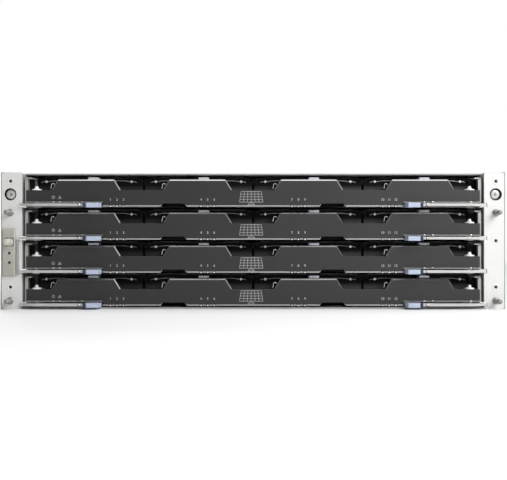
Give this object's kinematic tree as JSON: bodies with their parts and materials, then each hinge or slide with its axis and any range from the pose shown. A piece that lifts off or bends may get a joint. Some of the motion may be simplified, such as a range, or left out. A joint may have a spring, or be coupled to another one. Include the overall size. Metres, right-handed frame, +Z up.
{
  "type": "storage array",
  "caption": "Rack storage array: full-width drive drawers with swing levers slide from a flat sheet-metal chassis with rack ears and plug-in rear modules.",
  "frame": {"origin": "middle of the footprint's bounding box, on the underside of the case floor", "axes": "+Z up; -Y is the drawer front; +X is to the right when facing the drawers"},
  "size_m": [0.4826, 0.842, 0.131],
  "materials": {
    "case_steel": "satin",
    "ear_steel": "satin",
    "zinc_steel": "satin",
    "lever_steel": "satin",
    "screw_steel": "satin",
    "stud_steel": "polished",
    "grille_steel": "satin",
    "black_face": "satin",
    "black_plastic": "satin",
    "fan_plastic": "matte",
    "blue_grip": "satin",
    "tab_plastic": "satin",
    "indicator_plastic": "satin",
    "drive_metal": "satin",
    "module_metal": "satin",
    "board_laminate": "satin"
  },
  "bodies": {
    "chassis": {"chassis_case": "case_steel", "top_cover": "case_steel", "left_rack_ear": "ear_steel", "right_rack_ear": "ear_steel", "rack_screws": "screw_steel", "bezel_studs": "stud_steel", "indicator_module": "indicator_plastic", "drawer_rails": "zinc_steel", "midplane_board": "board_laminate", "io_module_1": "module_metal", "io_module_2": "module_metal", "power_supply_1": "module_metal", "power_supply_2": "module_metal", "fan_module_1": "fan_plastic", "fan_module_2": "fan_plastic", "fan_grilles": "grille_steel"},
    "drawer_1": {"drawer_1_tray": "zinc_steel", "drawer_1_faceplate": "black_face", "drawer_1_board": "board_laminate", "drawer_1_drives": "drive_metal", "drawer_1_drive_handles": "black_plastic", "drawer_1_release_tabs": "tab_plastic"},
    "drawer_1_left_lever": {"drawer_1_left_lever": "lever_steel", "drawer_1_left_grip": "blue_grip"},
    "drawer_1_right_lever": {"drawer_1_right_lever": "lever_steel", "drawer_1_right_grip": "blue_grip"},
    "drawer_2": {"drawer_2_tray": "zinc_steel", "drawer_2_faceplate": "black_face", "drawer_2_board": "board_laminate", "drawer_2_drives": "drive_metal", "drawer_2_drive_handles": "black_plastic", "drawer_2_release_tabs": "tab_plastic"},
    "drawer_2_left_lever": {"drawer_2_left_lever": "lever_steel", "drawer_2_left_grip": "blue_grip"},
    "drawer_2_right_lever": {"drawer_2_right_lever": "lever_steel", "drawer_2_right_grip": "blue_grip"},
    "drawer_3": {"drawer_3_tray": "zinc_steel", "drawer_3_faceplate": "black_face", "drawer_3_board": "board_laminate", "drawer_3_drives": "drive_metal", "drawer_3_drive_handles": "black_plastic", "drawer_3_release_tabs": "tab_plastic"},
    "drawer_3_left_lever": {"drawer_3_left_lever": "lever_steel", "drawer_3_left_grip": "blue_grip"},
    "drawer_3_right_lever": {"drawer_3_right_lever": "lever_steel", "drawer_3_right_grip": "blue_grip"},
    "drawer_4": {"drawer_4_tray": "zinc_steel", "drawer_4_faceplate": "black_face", "drawer_4_board": "board_laminate", "drawer_4_drives": "drive_metal", "drawer_4_drive_handles": "black_plastic", "drawer_4_release_tabs": "tab_plastic"},
    "drawer_4_left_lever": {"drawer_4_left_lever": "lever_steel", "drawer_4_left_grip": "blue_grip"},
    "drawer_4_right_lever": {"drawer_4_right_lever": "lever_steel", "drawer_4_right_grip": "blue_grip"},
    "io_lever_1": {"io_module_1_lever": "blue_grip"},
    "io_lever_2": {"io_module_2_lever": "blue_grip"},
    "fan_rotor_1": {"fan_rotor_1": "fan_plastic"},
    "fan_rotor_2": {"fan_rotor_2": "fan_plastic"}
  },
  "joints": [
    {"name": "drawer_1_slide", "type": "slide", "parent": "chassis", "child": "drawer_1", "axis": [0, -1, 0], "range_m": [0, 0.48]},
    {"name": "drawer_1_left_lever_pivot", "type": "hinge", "parent": "drawer_1", "child": "drawer_1_left_lever", "pos_m": [-0.209, -0.4004, 0.0983], "axis": [0, 0, -1], "range_deg": [0, 70]},
    {"name": "drawer_1_right_lever_pivot", "type": "hinge", "parent": "drawer_1", "child": "drawer_1_right_lever", "pos_m": [0.209, -0.4004, 0.0983], "axis": [0, 0, 1], "range_deg": [0, 70]},
    {"name": "drawer_2_slide", "type": "slide", "parent": "chassis", "child": "drawer_2", "axis": [0, -1, 0], "range_m": [0, 0.48]},
    {"name": "drawer_2_left_lever_pivot", "type": "hinge", "parent": "drawer_2", "child": "drawer_2_left_lever", "pos_m": [-0.209, -0.4004, 0.06655], "axis": [0, 0, -1], "range_deg": [0, 70]},
    {"name": "drawer_2_right_lever_pivot", "type": "hinge", "parent": "drawer_2", "child": "drawer_2_right_lever", "pos_m": [0.209, -0.4004, 0.06655], "axis": [0, 0, 1], "range_deg": [0, 70]},
    {"name": "drawer_3_slide", "type": "slide", "parent": "chassis", "child": "drawer_3", "axis": [0, -1, 0], "range_m": [0, 0.48]},
    {"name": "drawer_3_left_lever_pivot", "type": "hinge", "parent": "drawer_3", "child": "drawer_3_left_lever", "pos_m": [-0.209, -0.4004, 0.0348], "axis": [0, 0, -1], "range_deg": [0, 70]},
    {"name": "drawer_3_right_lever_pivot", "type": "hinge", "parent": "drawer_3", "child": "drawer_3_right_lever", "pos_m": [0.209, -0.4004, 0.0348], "axis": [0, 0, 1], "range_deg": [0, 70]},
    {"name": "drawer_4_slide", "type": "slide", "parent": "chassis", "child": "drawer_4", "axis": [0, -1, 0], "range_m": [0, 0.48]},
    {"name": "drawer_4_left_lever_pivot", "type": "hinge", "parent": "drawer_4", "child": "drawer_4_left_lever", "pos_m": [-0.209, -0.4004, 0.00305], "axis": [0, 0, -1], "range_deg": [0, 70]},
    {"name": "drawer_4_right_lever_pivot", "type": "hinge", "parent": "drawer_4", "child": "drawer_4_right_lever", "pos_m": [0.209, -0.4004, 0.00305], "axis": [0, 0, 1], "range_deg": [0, 70]},
    {"name": "io_lever_1_pivot", "type": "hinge", "parent": "chassis", "child": "io_lever_1", "pos_m": [-0.10875, 0.408, 0.0821], "axis": [0, 0, 1], "range_deg": [0, 75]},
    {"name": "io_lever_2_pivot", "type": "hinge", "parent": "chassis", "child": "io_lever_2", "pos_m": [-0.10875, 0.408, 0.0175], "axis": [0, 0, 1], "range_deg": [0, 75]},
    {"name": "fan_rotor_1_spin", "type": "hinge", "parent": "chassis", "child": "fan_rotor_1", "pos_m": [-0.17185, 0.38, 0.0735], "axis": [0, 1, 0], "continuous": true},
    {"name": "fan_rotor_2_spin", "type": "hinge", "parent": "chassis", "child": "fan_rotor_2", "pos_m": [0.17185, 0.38, 0.0735], "axis": [0, 1, 0], "continuous": true}
  ]
}
